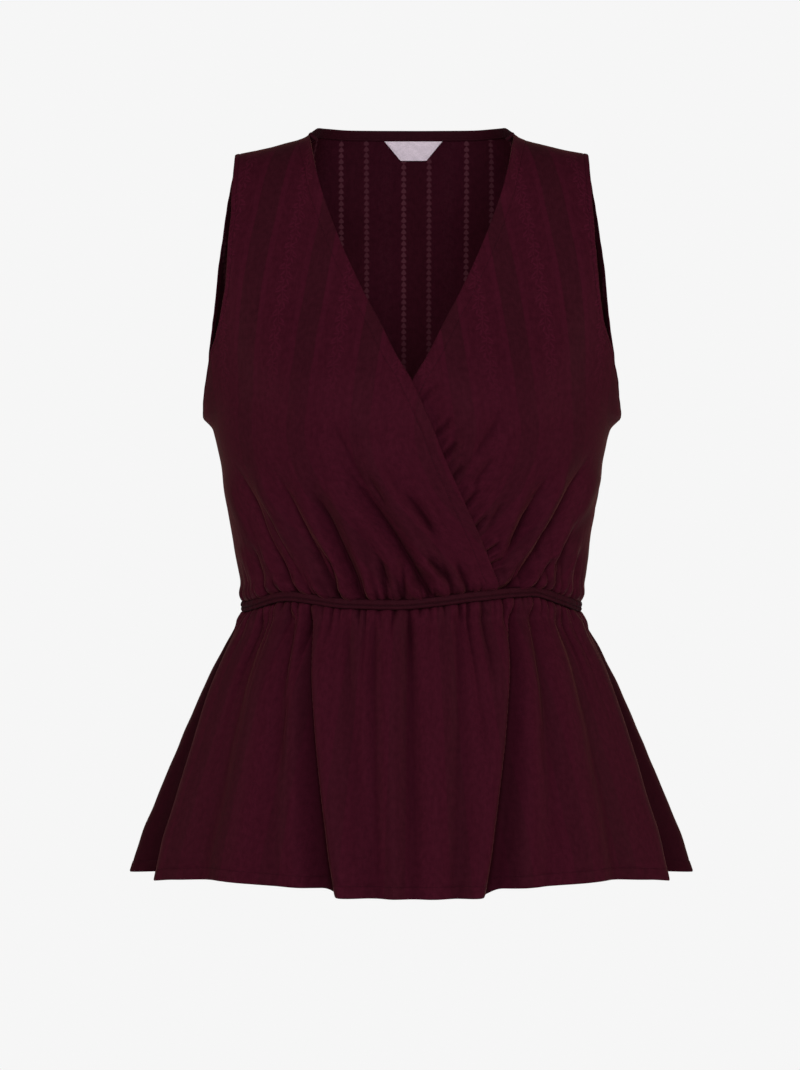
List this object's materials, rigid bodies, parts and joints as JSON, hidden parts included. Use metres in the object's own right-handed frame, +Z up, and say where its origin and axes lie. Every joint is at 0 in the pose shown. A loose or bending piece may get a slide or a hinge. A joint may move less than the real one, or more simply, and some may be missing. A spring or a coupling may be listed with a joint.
{
  "type": "sleeveless wrap-front pajama top with gathered peplum",
  "caption": "Sleeveless wrap-front pajama top in dark satin, with a V neck, gathered elastic waist and flared peplum, filled out as worn.",
  "frame": {"origin": "midway between the shoulders, level with the back neck edge, where the wearer's shoulders hold the top", "axes": "+Z up the wearer's body, -Y out of the front, +X towards the wearer's left"},
  "size_m": [0.4574, 0.2878, 0.6023],
  "materials": {
    "satin": "soft satin with tone-on-tone woven stripes",
    "binding": "plain satin band",
    "casing": "gathered satin casing over elastic",
    "label": "bare white woven label"
  },
  "bodies": {
    "root": {"front_right": "satin", "front_left": "satin", "back": "satin", "back_neck_binding": "binding", "waist_casing_front": "casing", "waist_casing_back": "casing", "peplum_front": "satin", "peplum_back": "satin", "neck_label": "label"}
  },
  "joints": []
}
